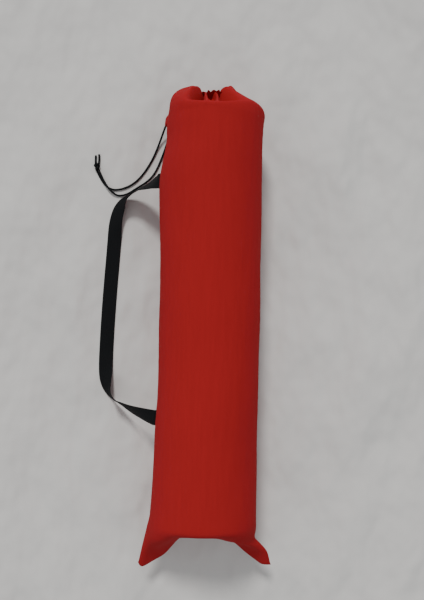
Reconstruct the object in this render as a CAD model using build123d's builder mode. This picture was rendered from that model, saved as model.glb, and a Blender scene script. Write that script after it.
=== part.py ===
"""A long drawstring carry bag, packed with a rolled foam mat and lying on a floor.

Millimetres. +Y runs along the bag to its gathered mouth, +Z is up, and the shoulder strap is on the -X side.
The origin is the middle of the flat patch that the packed bag rests on.
"""

import os
from math import pi, radians, tan

from build123d import *

# --- driving dimensions ---
BAG_R = 83.0  # outer radius of the packed bag
CLOTH = 1.0  # thickness that stands for the sewn cloth
AXIS_Z = 80.5  # height of the bag's axis; under BAG_R, so the bag sits on a flat patch
BARREL_HALF = 322.0  # the round barrel runs this far each way along Y
RIM_R = 7.0  # rounding of the cloth over the ends of the roll
FOOT_Y = -350.0  # middle of the bottom seam
FIN = 3.0  # two layers of cloth pressed flat at the corners

MAT_LENGTH = 640.0  # width of the mat, which is the length of its roll
MAT_THICK = 10.0
MAT_PITCH = 10.3  # one turn of the roll to the next
MAT_R = 80.2  # reach of the last half-turn, which ends on the floor side
MAT_HALF_TURNS = 12
MAT_Z = 81.6  # the roll rests on the cloth below it

# The gathered end, from the rim of the barrel to the channel: (distance from the axis, Y).
MOUTH_PROFILE = [(80, 335), (70, 347), (59, 354.5), (45, 362), (31, 369), (22, 372.5)]
HEM_INNER_R, HEM_OUTER_R = 5.0, 14.0  # the drawstring channel, gathered into a thick ring
HEM_Y0, HEM_Y1 = 352.0, 368.0
HEM_EDGE_R = 3.0
LOOP_R = 9.5  # the cord's ring inside the channel
LOOP_Y = 358.0

CORD_D = 3.5
CORD_TUNNEL_D = CORD_D + 0.7
EXIT_X, EXIT_Z = 2.4, 71.0  # the two tails leave the underside of the gathered ring side by side
FLOOR_Z = CORD_D / 2 + 0.1  # centre of a cord that lies on the floor

WEB_W, WEB_T = 25.0, 1.6  # webbing
STRAP_Y_UPPER, STRAP_Y_LOWER = 221.5, -167.0  # where the side seam holds the strap
SEAM_GAP = 1.3  # room at the fold, where the swinging loop leaves the sewn-in end
STRAP_END_REACH = 18.0  # webbing caught behind the side seam

THREAD = 0.6
THREAD_LINE = 1.0  # width of a run of stitches

BARREL_AXIS = Axis((0, 0, AXIS_Z), (0, 1, 0))
SEAM_PLANE = Plane.XY.offset(AXIS_Z)

# The strap's route from the upper to the lower end: a point on its middle line and how far its outer edge
# leans down, in degrees. It comes down off the side seam, turns on edge and lies flat along the floor.
STRAP_ROUTE = [
    ((-BAG_R - CLOTH - SEAM_GAP, STRAP_Y_UPPER, AXIS_Z), 0),
    ((-90.5, 221.3, 78), 12),
    ((-97.8, 220.9, 69), 32),
    ((-109.3, 219.3, 54), 52),
    ((-122.7, 217.2, 38.5), 67),
    ((-135, 213, 27.5), 76),
    ((-143.7, 207.5, 20), 75),
    ((-151.5, 201.5, 15), 60),
    ((-158.5, 193.5, 10.5), 40),
    ((-164.3, 183, 8), 28),
    ((-168.5, 168.6, 6.2), 21),
    ((-170.6, 154.8, 4.5), 14),
    ((-172, 131, 1.6), 1),
    ((-174, 100, 1.0), 0),
    ((-179, 20, 1.0), 0),
    ((-182, -50, 1.0), 0),
    ((-182.7, -95, 2.4), 5),
    ((-180.7, -120.5, 8), 31),
    ((-174.5, -137, 12.8), 56),
    ((-162.5, -150, 21.5), 77),
    ((-146, -157.2, 32), 64),
    ((-128.4, -162, 46.5), 47),
    ((-106, -165.2, 66), 25),
    ((-94.5, -166.4, 75), 11),
    ((-BAG_R - CLOTH - SEAM_GAP, STRAP_Y_LOWER, AXIS_Z), 0),
]

# The two free tails of the drawstring: out of the gathered mouth, down round the end of the roll, along the
# floor and in a hook to the knot that ties them together.
TAIL_FRONT_ROUTE = [
    (-EXIT_X, HEM_Y0 + 2, EXIT_Z),
    (-EXIT_X, 376.5, EXIT_Z),
    (-15, 380.5, 57),
    (-38, 375.5, 45.5),
    (-61, 362, 36),
    (-76, 345, 28),
    (-85.5, 328, 15),
    (-96.5, 302, 3.5),
    (-108, 274.5, FLOOR_Z),
    (-121.5, 251.5, FLOOR_Z),
    (-136.5, 234.5, FLOOR_Z),
    (-152.5, 224.5, FLOOR_Z),
    (-169, 220, FLOOR_Z),
    (-182, 221.5, FLOOR_Z),
    (-192.5, 231.5, FLOOR_Z),
    (-201, 246, FLOOR_Z),
    (-207.9, 258, 3.3),
]
TAIL_BACK_ROUTE = [
    (EXIT_X, HEM_Y0 + 2, EXIT_Z),
    (EXIT_X, 376, EXIT_Z),
    (-7.5, 380, 54),
    (-29, 374.8, 41),
    (-51, 362, 29),
    (-66, 345, 18),
    (-76, 325, 9),
    (-83.5, 301, 2.7),
    (-92.5, 275, FLOOR_Z),
    (-103, 250.5, FLOOR_Z),
    (-116, 235.5, FLOOR_Z),
    (-133, 225, FLOOR_Z),
    (-150, 213.5, FLOOR_Z),
    (-167, 210, FLOOR_Z),
    (-177.5, 217, 4.9),
    (-185.5, 226, 6.2),
    (-195.5, 242, 5.7),
    (-203.0, 257.5, 3.7),
]
KNOT_X, KNOT_Y, KNOT_Z = -205.4, 261.0, 5.6
KNOT_HALF_LENGTH, KNOT_HALF_WIDTH = 7.0, 5.4
END_FRONT_ROUTE = [(-207.9, 264, 3.3), (-208.6, 272.5, FLOOR_Z + 0.4), (-208.2, 280, FLOOR_Z + 0.4)]
END_BACK_ROUTE = [(-203.0, 264, 3.3), (-201.4, 273, FLOOR_Z + 0.4), (-202.4, 282, FLOOR_Z + 0.4)]
SEAL_R = 2.1  # melted bead on a cut end


def keep(builder, name):
    """Labels a finished piece and writes it as parts/NAME.step."""
    builder.part.label = name
    export_step(builder.part, f"parts/{name}.step")


def barrel(inset):
    """The packed bag's closed outer form, taken in by inset all round, with its flat patch underneath."""
    radius = BAG_R - inset
    shoulder = BAG_R - RIM_R
    end = BARREL_HALF + RIM_R - inset
    foot = FOOT_Y + inset
    mouth = [(r - inset * 0.7, y - inset * 0.7) for r, y in MOUTH_PROFILE]
    pucker = HEM_Y1 - 2 - inset
    with BuildPart() as body:
        with BuildSketch(SEAM_PLANE):
            with BuildLine():
                Line((0, foot), (shoulder, -end))
                TangentArc((shoulder, -end), (radius, -BARREL_HALF), tangent=(1, 0))
                Line((radius, -BARREL_HALF), (radius, BARREL_HALF))
                last = (HEM_OUTER_R - 1, pucker)
                Spline((radius, BARREL_HALF), *mouth, last, tangents=((0, 1), (-0.6, -1)))
                Line((HEM_OUTER_R - 1, pucker), (0, pucker))
                Line((0, pucker), (0, foot))
            make_face()
        revolve(axis=BARREL_AXIS)
        with Locations((0, 0, inset)):
            below = (Align.CENTER, Align.CENTER, Align.MAX)
            Box(4 * BAG_R, 3 * BARREL_HALF, BAG_R, align=below, mode=Mode.SUBTRACT)
    return body.part


def build_cover():
    """The sewn cover: two panels that meet at the side seams and in the flat bottom corners."""
    outer = barrel(0)
    inner = barrel(CLOTH)
    with BuildPart() as cover:
        add(outer)
        # The corners below the roll, where the straight bottom seam spreads wider than the barrel.
        with BuildSketch(SEAM_PLANE.offset(-FIN / 2)):
            with BuildLine():
                Spline((-82, -240), (-88, -312), (-97, -362), (-107, -405), tangents=((0, -1), (-0.2, -1)))
                Line((-107, -405), (-101, -412))
                Spline((-101, -412), (-55, -377), (0, -352), (48, -373), (103, -409))
                Line((103, -409), (108, -404))
                Spline((108, -404), (96, -375), (81, -340))
                Line((81, -340), (60, -300))
                Line((60, -300), (-60, -240))
                Line((-60, -240), (-82, -240))
            make_face()
        extrude(amount=FIN)
        # The empty shoulder beside the gathered mouth.
        with BuildSketch(SEAM_PLANE.offset(-FIN / 2)):
            with BuildLine():
                Spline((81, 285), (85, 330), (78, 346))
                Line((78, 346), (60, 350))
                Line((60, 350), (60, 300))
                Line((60, 300), (81, 285))
            make_face()
        extrude(amount=FIN)
        add(inner, mode=Mode.SUBTRACT)
        # The mouth, where the gathered hem takes over from the panels.
        with BuildSketch(Plane.XZ.offset(-320)):
            with Locations((0, AXIS_Z)):
                Circle(HEM_OUTER_R)
        extrude(amount=-60, mode=Mode.SUBTRACT)
        # The webbing passes out between the two panels.
        for y in (STRAP_Y_UPPER, STRAP_Y_LOWER):
            with Locations((-BAG_R, y, AXIS_Z)):
                Box(2 * RIM_R, WEB_W, WEB_T, mode=Mode.SUBTRACT)
    for name, side in (("front_panel", Keep.TOP), ("back_panel", Keep.BOTTOM)):
        with BuildPart() as panel:
            add(cover.part)
            split(bisect_by=SEAM_PLANE, keep=side)
        keep(panel, name)


def build_mat():
    """The foam mat, rolled up: half-turns about two centres, half a pitch apart, one above the other."""
    grow = MAT_PITCH / 2
    last = MAT_R - MAT_THICK / 2
    with BuildPart() as mat:
        with BuildSketch(Plane.XZ.offset(MAT_LENGTH / 2)):
            with BuildLine():
                for k in range(MAT_HALF_TURNS + 1):
                    # Counted from the outer end: right halves turn about MAT_Z, left ones above it.
                    sign, height = (1, MAT_Z) if k % 2 == 0 else (-1, MAT_Z + grow)
                    for radius in (last - k * grow + MAT_THICK / 2, last - k * grow - MAT_THICK / 2):
                        ThreePointArc((0, height + radius), (sign * radius, height), (0, height - radius))
                core = last - MAT_HALF_TURNS * grow
                Line((0, MAT_Z - MAT_R), (0, MAT_Z - MAT_R + MAT_THICK))
                Line((0, MAT_Z + core - MAT_THICK / 2), (0, MAT_Z + core + MAT_THICK / 2))
            make_face()
        extrude(amount=-MAT_LENGTH)
    keep(mat, "rolled_mat")


def build_mouth():
    """The gathered drawstring channel, the cord's loop inside it, and its line of stitches."""
    with BuildPart() as loop:
        with BuildLine(Plane.XZ.offset(-LOOP_Y)) as ring:
            CenterArc((0, AXIS_Z), LOOP_R, -50, 280)
        with BuildSketch(Plane(origin=ring.line @ 0, z_dir=ring.line % 0)):
            Circle(CORD_D / 2)
        sweep(path=ring.line)
    with BuildPart() as hem:
        with BuildSketch(SEAM_PLANE) as profile:
            with Locations(((HEM_INNER_R + HEM_OUTER_R) / 2, (HEM_Y0 + HEM_Y1) / 2)):
                Rectangle(HEM_OUTER_R - HEM_INNER_R, HEM_Y1 - HEM_Y0)
            fillet(profile.vertices().group_by(Axis.Y)[-1], HEM_EDGE_R)
        revolve(axis=BARREL_AXIS)
        add(loop.part, mode=Mode.SUBTRACT)
        with BuildSketch(Plane.XZ.offset(-HEM_Y0)):
            with Locations((-EXIT_X, EXIT_Z), (EXIT_X, EXIT_Z)):
                Circle(CORD_TUNNEL_D / 2)
        extrude(amount=-2 * HEM_OUTER_R, mode=Mode.SUBTRACT)
    with BuildPart() as stitches:
        with BuildSketch(SEAM_PLANE):
            with Locations((HEM_OUTER_R + THREAD / 2, HEM_Y0 + 4)):
                Rectangle(THREAD, THREAD_LINE)
        revolve(axis=BARREL_AXIS)
    keep(loop, "drawstring_loop")
    keep(hem, "mouth_hem")
    keep(stitches, "hem_thread")


def cord_path(route):
    """Straight runs joined by tangent arcs, each as large as its two runs allow."""
    points = [Vector(*point) for point in route]
    radii = []
    for before, corner, after in zip(points, points[1:], points[2:]):
        turn = (corner - before).get_angle(after - corner)
        shorter = min((corner - before).length, (after - corner).length)
        radii.append(0.45 * shorter / tan(radians(turn / 2)))
    return FilletPolyline(*points, radius=radii)


def build_cords():
    """The two tails, the knot that joins them and the two cut ends beyond it."""
    routes = {
        "cord_tail_front": TAIL_FRONT_ROUTE,
        "cord_tail_back": TAIL_BACK_ROUTE,
        "cord_end_front": END_FRONT_ROUTE,
        "cord_end_back": END_BACK_ROUTE,
    }
    cords = {}
    for name, route in routes.items():
        with BuildPart() as cord:
            with BuildLine():
                path = cord_path(route)
            with BuildSketch(Plane(origin=path @ 0, z_dir=path % 0)):
                Circle(CORD_D / 2)
            sweep(path=path)
            if "end" in name:
                with Locations(path @ 1):
                    Sphere(SEAL_R)
        print(name, "is", round(path.length, 1), "mm long")
        cords[name] = cord
    with BuildPart() as knot:
        with BuildSketch(Plane.XY.offset(KNOT_Z)):
            with Locations((KNOT_X, KNOT_Y)):
                Ellipse(KNOT_HALF_WIDTH, KNOT_HALF_LENGTH)
                with Locations((-KNOT_HALF_WIDTH, 0)):
                    Rectangle(2 * KNOT_HALF_WIDTH, 4 * KNOT_HALF_LENGTH, mode=Mode.SUBTRACT)
        revolve(axis=Axis((KNOT_X, KNOT_Y, KNOT_Z), (0, 1, 0)))
        for cord in cords.values():
            add(cord.part, mode=Mode.SUBTRACT)
    keep(knot, "cord_knot")
    for name, cord in cords.items():
        keep(cord, name)


def build_seams():
    """The runs of thread that close the two side seams and the bottom, on the inside of the cloth."""
    wall = BAG_R - CLOTH - 0.1
    for name, sign in (("left_seam_thread", -1), ("right_seam_thread", 1)):
        with BuildPart() as run:
            with Locations((sign * (wall - THREAD / 2), 0, AXIS_Z + 2.5)):
                Box(THREAD, 2 * BARREL_HALF - 12, THREAD_LINE)
        keep(run, name)
    half = BAG_R - 2 * RIM_R
    end = -(BARREL_HALF + RIM_R) + CLOTH
    slope = (FOOT_Y + CLOTH - end) / (BAG_R - RIM_R)
    with BuildPart() as bottom:
        with BuildSketch(SEAM_PLANE.offset(-THREAD_LINE / 2)):
            with BuildLine():
                gap, back = 0.4, 0.4 + THREAD
                edge = end + slope * (BAG_R - RIM_R - half)
                foot = FOOT_Y + CLOTH
                Polyline(
                    (-half, edge + gap),
                    (0, foot + gap),
                    (half, edge + gap),
                    (half, edge + back),
                    (0, foot + back),
                    (-half, edge + back),
                    close=True,
                )
            make_face()
        extrude(amount=THREAD_LINE)
    keep(bottom, "bottom_seam_thread")


def build_strap_ends():
    """The two ends of the webbing, caught behind the side seam, and the tack that sews each one down."""
    web_r = BAG_R - CLOTH - 0.1 - WEB_T / 2
    reach = STRAP_END_REACH / web_r * 180 / pi
    for name, y in (("upper", STRAP_Y_UPPER), ("lower", STRAP_Y_LOWER)):
        with BuildPart() as end:
            with BuildLine(Plane.XZ.offset(-y)) as fold:
                CenterArc((0, AXIS_Z), web_r, 180, reach)
            with BuildSketch(Plane(origin=fold.line @ 0, x_dir=(0, 1, 0), z_dir=fold.line % 0)):
                Rectangle(WEB_W, WEB_T)
            sweep(path=fold.line)
            with Locations((-web_r, y, AXIS_Z)):
                Box(BAG_R + CLOTH - web_r, WEB_W, WEB_T, align=(Align.MAX, Align.CENTER, Align.CENTER))
        keep(end, f"strap_end_{name}")
        with BuildPart() as tack:
            with BuildSketch(Plane.YZ.offset(-BAG_R)):
                with Locations((y, AXIS_Z - STRAP_END_REACH / 2)):
                    Rectangle(WEB_W - 4, STRAP_END_REACH - 6)
                    Rectangle(WEB_W - 6, STRAP_END_REACH - 8, mode=Mode.SUBTRACT)
            extrude(amount=RIM_R)
            with BuildSketch(SEAM_PLANE):
                with Locations((-web_r + (WEB_T + THREAD) / 2, y)):
                    Rectangle(THREAD, WEB_W)
            revolve(axis=BARREL_AXIS, mode=Mode.INTERSECT)
        keep(tack, f"strap_tack_{name}")


def build_strap():
    """The loop of webbing, as a ribbon lofted along its route."""
    points = [Vector(*point) for point, _ in STRAP_ROUTE]
    with BuildPart() as strap:
        for i, (_, lean) in enumerate(STRAP_ROUTE):
            ahead = (points[min(i + 1, len(points) - 1)] - points[max(i - 1, 0)]).normalized()
            if i in (0, len(points) - 1):
                ahead = Vector(-1 if i == 0 else 1, 0, 0)
            level = ahead.cross(Vector(0, 0, 1)).normalized()
            across = level.rotate(Axis((0, 0, 0), ahead), lean)
            with BuildSketch(Plane(origin=points[i], x_dir=across, z_dir=ahead)):
                Rectangle(WEB_W, WEB_T)
        loft(ruled=True)
    keep(strap, "shoulder_strap")


def main():
    os.makedirs("parts", exist_ok=True)
    build_cover()
    build_mat()
    build_mouth()
    build_seams()
    build_strap_ends()
    build_strap()
    build_cords()


main()
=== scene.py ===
"""Looks of a long drawstring carry bag: woven cover, gathered mouth, webbing strap, braided cord and rolled mat.

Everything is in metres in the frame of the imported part: +Y runs along the bag to its mouth, +Z is up, the strap
is on the -X side, and the bag lies on the floor at z = 0.
"""

from __future__ import annotations

import logging
import math
from dataclasses import dataclass
from enum import Enum
from typing import Any, Sequence

import bmesh
import bpy
import numpy as np
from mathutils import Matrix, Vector


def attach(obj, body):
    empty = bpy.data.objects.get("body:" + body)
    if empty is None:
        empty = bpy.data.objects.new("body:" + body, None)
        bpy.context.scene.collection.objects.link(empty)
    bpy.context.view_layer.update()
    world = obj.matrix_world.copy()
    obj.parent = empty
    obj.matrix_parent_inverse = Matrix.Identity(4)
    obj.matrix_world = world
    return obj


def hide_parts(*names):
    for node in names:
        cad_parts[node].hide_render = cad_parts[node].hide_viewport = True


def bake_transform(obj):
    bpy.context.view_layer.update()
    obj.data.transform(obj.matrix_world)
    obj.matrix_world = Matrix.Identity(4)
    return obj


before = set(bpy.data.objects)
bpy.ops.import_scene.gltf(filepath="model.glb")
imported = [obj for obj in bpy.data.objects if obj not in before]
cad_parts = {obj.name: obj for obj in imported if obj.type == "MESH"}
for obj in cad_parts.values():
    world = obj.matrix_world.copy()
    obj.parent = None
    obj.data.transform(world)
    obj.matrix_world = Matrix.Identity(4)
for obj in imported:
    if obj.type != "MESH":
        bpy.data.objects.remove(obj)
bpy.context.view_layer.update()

LOG = logging.getLogger("drawstring_bag")
MM = 0.001
BRAID_LAY = 2.6 * MM
Point = Sequence[float]


# ---------------------------------------------------------------------------------------------------------------
# Small mathematics on arrays
# ---------------------------------------------------------------------------------------------------------------


def ease(x: np.ndarray, low: float, high: float) -> np.ndarray:
    """Returns a smooth step from 0 at low to 1 at high, which may lie below low."""
    t = np.clip((x - low) / (high - low), 0.0, 1.0)
    return t * t * (3.0 - 2.0 * t)


def hump(x: np.ndarray, centre: float, width: float) -> np.ndarray:
    """Returns a smooth hump of height 1 at centre that is about width wide on each side."""
    return np.exp(-(((x - centre) / width) ** 2))


def through(points: np.ndarray, at: np.ndarray) -> np.ndarray:
    """Interpolates smoothly through evenly numbered points.

    Args:
        points: Values at 0, 1, 2 and so on, along the first axis.
        at: Where to read, in the same numbering.

    Returns:
        The values at each place, with the points' other axes after at's.
    """
    points = np.asarray(points, dtype=float)
    last = len(points) - 1
    at = np.clip(np.asarray(at, dtype=float), 0.0, last)
    i = np.minimum(at.astype(int), last - 1)
    t = (at - i).reshape(at.shape + (1,) * (points.ndim - 1))
    p0, p1 = points[np.maximum(i - 1, 0)], points[i]
    p2, p3 = points[i + 1], points[np.minimum(i + 2, last)]
    return p1 + 0.5 * t * (p2 - p0 + t * (2 * p0 - 5 * p1 + 4 * p2 - p3 + t * (3 * (p1 - p2) + p3 - p0)))


def run_along(line: np.ndarray) -> np.ndarray:
    """Returns each point's distance along a line of points."""
    return np.concatenate([[0.0], np.cumsum(np.linalg.norm(np.diff(line, axis=0), axis=1))])


def respaced(line: np.ndarray, count: int) -> np.ndarray:
    """Returns count points an even distance apart on a line of points."""
    run = run_along(line)
    want = np.linspace(0, run[-1], count)
    return np.stack([np.interp(want, run, line[:, k]) for k in range(line.shape[1])], axis=1)


def through_even(points: np.ndarray, count: int) -> np.ndarray:
    """Resamples a smooth line through points into count points an even distance apart."""
    points = np.asarray(points, dtype=float)
    return respaced(through(points, np.linspace(0, len(points) - 1, 60 * len(points))), count)


def table(rows: Sequence[tuple[float, float]], at: np.ndarray) -> np.ndarray:
    """Reads a smooth curve given as rows of (place, value) at any places."""
    places = np.array([row[0] for row in rows])
    values = np.array([row[1] for row in rows])
    slopes = np.gradient(values, places)
    i = np.clip(np.searchsorted(places, at) - 1, 0, len(places) - 2)
    gap = places[i + 1] - places[i]
    t = np.clip((at - places[i]) / gap, 0.0, 1.0)
    h = t * t * (3 - 2 * t)
    return (
        values[i] * (1 - h)
        + values[i + 1] * h
        + gap * t * (1 - t) * (slopes[i] * (1 - t) - slopes[i + 1] * t)
    )


def unit(vectors: np.ndarray) -> np.ndarray:
    """Scales vectors along the last axis to length 1."""
    return vectors / np.maximum(np.linalg.norm(vectors, axis=-1, keepdims=True), 1e-12)


def soften(grid: np.ndarray, passes: int, weight: np.ndarray | float = 1.0) -> np.ndarray:
    """Relaxes a grid of points that is closed around its second axis.

    Args:
        grid: Points as rows, columns and coordinates.
        passes: How many times each point moves halfway to the middle of its four neighbours.
        weight: How far each point follows, from 0 to 1, as a number or as one value for each point.

    Returns:
        The relaxed grid. Its first and last rows stay where they are.
    """
    grid = grid.copy()
    for _ in range(passes):
        around = (np.roll(grid, 1, axis=1) + np.roll(grid, -1, axis=1))[1:-1]
        middle = (grid[2:] + grid[:-2] + around) / 4
        grid[1:-1] += 0.5 * (middle - grid[1:-1]) * (weight if np.isscalar(weight) else weight[1:-1, :, None])
    return grid


def gathers(angle: np.ndarray) -> np.ndarray:
    """Returns the folds of the gathered throat, from about -1 to 1, by direction in radians."""
    main = np.cos(16 * (angle - math.radians(97.5)))
    return main * (0.8 + 0.2 * np.cos(3 * angle + 1)) + 0.25 * np.cos(25 * angle + 2)


def ripple(u: np.ndarray, v: np.ndarray, seed: int, waves: int = 14, finest: float = 0.04) -> np.ndarray:
    """Returns soft random relief between about -1 and 1.

    Args:
        u: First coordinate in metres.
        v: Second coordinate in metres.
        seed: Fixes the pattern.
        waves: How many waves are added up.
        finest: The shortest wavelength in metres; the longest is five times it.
    """
    rng = np.random.default_rng(seed)
    total = np.zeros(np.broadcast(u, v).shape)
    for _ in range(waves):
        length = finest * 5.0 ** rng.uniform(0, 1)
        heading, phase = rng.uniform(0, 2 * math.pi, 2)
        total = total + np.sin(2 * math.pi * (u * math.cos(heading) + v * math.sin(heading)) / length + phase)
    return total / math.sqrt(waves)


# ---------------------------------------------------------------------------------------------------------------
# Meshes
# ---------------------------------------------------------------------------------------------------------------


class Wrap(Enum):
    """How a grid of points closes on itself."""

    OPEN = "open"
    AROUND = "around"
    BOTH = "both"


def new_object(name: str, mesh: bpy.types.Mesh, material: bpy.types.Material) -> bpy.types.Object:
    """Puts a mesh in the scene as a smooth-shaded object at the origin."""
    mesh.materials.clear()
    mesh.materials.append(material)
    mesh.polygons.foreach_set("use_smooth", [True] * len(mesh.polygons))
    piece = bpy.data.objects.new(name, mesh)
    bpy.context.collection.objects.link(piece)
    return piece


def grid_mesh(
    name: str, grid: np.ndarray, uv: np.ndarray, wrap: Wrap = Wrap.OPEN, flip: bool = False
) -> bpy.types.Mesh:
    """Makes a mesh of quads from a grid of points.

    Args:
        name: The mesh's name.
        grid: Points as rows, columns and coordinates.
        uv: A texture place in metres for each point; one more column where the grid closes around, one more row
            where it closes both ways.
        wrap: Whether the columns, or the columns and the rows, close on themselves.
        flip: Turns the faces over.
    """
    rows, columns = grid.shape[:2]
    across = columns if wrap is not Wrap.OPEN else columns - 1
    along = rows if wrap is Wrap.BOTH else rows - 1
    r, c = np.meshgrid(np.arange(along), np.arange(across), indexing="ij")
    steps = [(0, 0), (0, 1), (1, 1), (1, 0)]
    if flip:
        steps = steps[::-1]
    corners = np.stack([((r + dr) % rows) * columns + (c + dc) % columns for dr, dc in steps], axis=-1)
    places = np.stack([uv[r + dr, c + dc] for dr, dc in steps], axis=-2)
    mesh = bpy.data.meshes.new(name)
    mesh.from_pydata(grid.reshape(-1, 3).tolist(), [], corners.reshape(-1, 4).tolist())
    layer = mesh.uv_layers.new(name="weave")
    layer.data.foreach_set("uv", places.reshape(-1))
    mesh.update()
    return mesh


def closed_ends(mesh: bpy.types.Mesh, ring: int, rows: int) -> None:
    """Closes both ends of a tube made by grid_mesh with one face each.

    Args:
        mesh: The tube.
        ring: How many points go round it.
        rows: How many rings it has.
    """
    work = bmesh.new()
    work.from_mesh(mesh)
    work.verts.ensure_lookup_table()
    work.faces.new([work.verts[k] for k in range(ring)])
    work.faces.new([work.verts[(rows - 1) * ring + k] for k in reversed(range(ring))])
    bmesh.ops.recalc_face_normals(work, faces=work.faces)
    work.to_mesh(mesh)
    work.free()


def thicken(name: str, mesh: bpy.types.Mesh, material: bpy.types.Material, thickness: float) -> bpy.types.Object:
    """Gives a one-sided sheet a real thickness on its inner side and returns the finished object."""
    draft = new_object(name + "_draft", mesh, material)
    wall = draft.modifiers.new("wall", "SOLIDIFY")
    wall.thickness = thickness
    wall.offset = -1.0
    wall.use_even_offset = False
    return settle(draft, name, material)


def settle(draft: bpy.types.Object, name: str, material: bpy.types.Material) -> bpy.types.Object:
    """Applies a draft's modifiers into a plain mesh under a new name and removes the draft."""
    view = bpy.context.evaluated_depsgraph_get()
    mesh = bpy.data.meshes.new_from_object(draft.evaluated_get(view))
    bpy.data.objects.remove(draft)
    mesh.name = name
    return new_object(name, mesh, material)


def tube_grid(line: np.ndarray, ring: np.ndarray, level: Point = (0, 0, 1), closed: bool = False) -> np.ndarray:
    """Sweeps a ring along a line.

    Args:
        line: The line's points.
        ring: The ring as rows of (across, up) offsets, or one such ring for each point of the line.
        level: The direction that up stays nearest to.
        closed: Whether the line closes on itself.

    Returns:
        A grid of points, one row for each point of the line.
    """
    if closed:
        ahead = unit(np.roll(line, -1, axis=0) - np.roll(line, 1, axis=0))
    else:
        ahead = unit(np.gradient(line, axis=0))
    up = np.empty_like(line)
    held = unit(np.cross(np.cross(ahead[0], np.asarray(level, dtype=float)), ahead[0]))
    for k, way in enumerate(ahead):
        held = unit(held - way * np.dot(held, way))
        up[k] = held
    across = np.cross(ahead, up)
    rings = np.broadcast_to(ring, (len(line),) + np.shape(ring)[-2:])
    return line[:, None] + across[:, None] * rings[..., 0:1] + up[:, None] * rings[..., 1:2]


# ---------------------------------------------------------------------------------------------------------------
# Node trees
# ---------------------------------------------------------------------------------------------------------------


class Wire:
    """A node's output socket, used like a number in Python expressions."""

    def __init__(self, kit: "NodeKit", socket: bpy.types.NodeSocket) -> None:
        self.kit = kit
        self.socket = socket

    def maths(self, operation: str, *values: Any) -> "Wire":
        """Adds a Math node with this wire as its first value."""
        return self.kit.node("ShaderNodeMath", {"operation": operation}, [self, *values])[0]

    def __add__(self, other: Any) -> "Wire":
        """Adds."""
        return self.maths("ADD", other)

    __radd__ = __add__

    def __mul__(self, other: Any) -> "Wire":
        """Multiplies."""
        return self.maths("MULTIPLY", other)

    __rmul__ = __mul__

    def __sub__(self, other: Any) -> "Wire":
        """Subtracts."""
        return self.maths("SUBTRACT", other)

    def __rsub__(self, other: Any) -> "Wire":
        """Subtracts this from a number."""
        return self.kit.node("ShaderNodeMath", {"operation": "SUBTRACT"}, [other, self])[0]

    def sine(self) -> "Wire":
        """Returns the sine."""
        return self.maths("SINE")

    def size(self) -> "Wire":
        """Returns the absolute value."""
        return self.maths("ABSOLUTE")

    def between(self, low: float, high: float) -> "Wire":
        """Returns a smooth step from 0 at low to 1 at high."""
        settings = {"interpolation_type": "SMOOTHSTEP"}
        return self.kit.node("ShaderNodeMapRange", settings, {0: self, 1: low, 2: high, 3: 0.0, 4: 1.0})[0]


class Placed:
    """A node in a tree, whose outputs are read by number or name."""

    def __init__(self, kit: "NodeKit", node: bpy.types.Node) -> None:
        """Keeps the node and its kit."""
        self.kit = kit
        self.node = node

    def __getitem__(self, key: int | str) -> Wire:
        """Returns an output as a wire."""
        return Wire(self.kit, self.node.outputs[key])


class NodeKit:
    """Builds one node tree."""

    def __init__(self, tree: bpy.types.NodeTree) -> None:
        """Starts on an empty tree."""
        self.tree = tree
        tree.nodes.clear()

    def node(self, kind: str, settings: dict[str, Any] | None = None, inputs: Any = ()) -> Placed:
        """Adds any node.

        Args:
            kind: The node's type.
            settings: Its properties, set before its sockets are used. "stops" fills a colour ramp.
            inputs: Values or wires, as a list in socket order or a dictionary by number or name.

        Returns:
            The placed node.
        """
        made = self.tree.nodes.new(kind)
        for key, value in (settings or {}).items():
            if key == "stops":
                self._fill_ramp(made.color_ramp, value)
            else:
                setattr(made, key, value)
        pairs = inputs.items() if isinstance(inputs, dict) else enumerate(inputs)
        for key, value in pairs:
            socket = made.inputs[key]
            if isinstance(value, Wire):
                self.tree.links.new(value.socket, socket)
            else:
                socket.default_value = value
        return Placed(self, made)

    @staticmethod
    def _fill_ramp(ramp: bpy.types.ColorRamp, stops: Sequence[tuple[float, Point]]) -> None:
        """Sets a colour ramp's stops."""
        while len(ramp.elements) < len(stops):
            ramp.elements.new(1.0)
        for element, (place, colour) in zip(ramp.elements, stops):
            element.position = place
            element.color = (*colour, 1.0)

    def mix(self, factor: Any, first: Any, second: Any) -> Wire:
        """Mixes two colours."""
        return self.node("ShaderNodeMix", {"data_type": "RGBA"}, {0: factor, 6: first, 7: second})[2]


@dataclass(frozen=True)
class Finish:
    """A material. Each kind of finish paints its own."""

    name: str
    colour: tuple[float, float, float]
    roughness: float = 0.8

    def build(self) -> bpy.types.Material:
        """Makes the material."""
        material = bpy.data.materials.new(self.name)
        material.use_nodes = True
        kit = NodeKit(material.node_tree)
        colour, height, reach = self.paint(kit)
        bump = kit.node("ShaderNodeBump", {}, {"Strength": 1.0, "Distance": reach, "Height": height})
        shader = kit.node(
            "ShaderNodeBsdfPrincipled",
            {},
            {"Base Color": colour, "Roughness": self.roughness, "Normal": bump[0], **self.extras()},
        )
        kit.node("ShaderNodeOutputMaterial", {}, [shader[0]])
        return material

    def paint(self, kit: NodeKit) -> tuple[Wire, Wire, float]:
        """Returns the colour, the relief and the relief's height in metres."""
        raise NotImplementedError

    def extras(self) -> dict[str, Any]:
        """Returns shader values that are the same all over."""
        return {"Specular IOR Level": 0.12}

    def shade(self, scale: float) -> tuple[float, float, float, float]:
        """Returns the finish's colour made lighter or darker, with alpha."""
        return (*(channel * scale for channel in self.colour), 1.0)


def weave_places(kit: NodeKit) -> tuple[Wire, Wire]:
    """Returns the two coordinates, in metres, that follow the cloth or cord."""
    places = kit.node("ShaderNodeUVMap", {"uv_map": "weave"})
    parts = kit.node("ShaderNodeSeparateXYZ", {}, [places[0]])
    return parts[0], parts[1]


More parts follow.
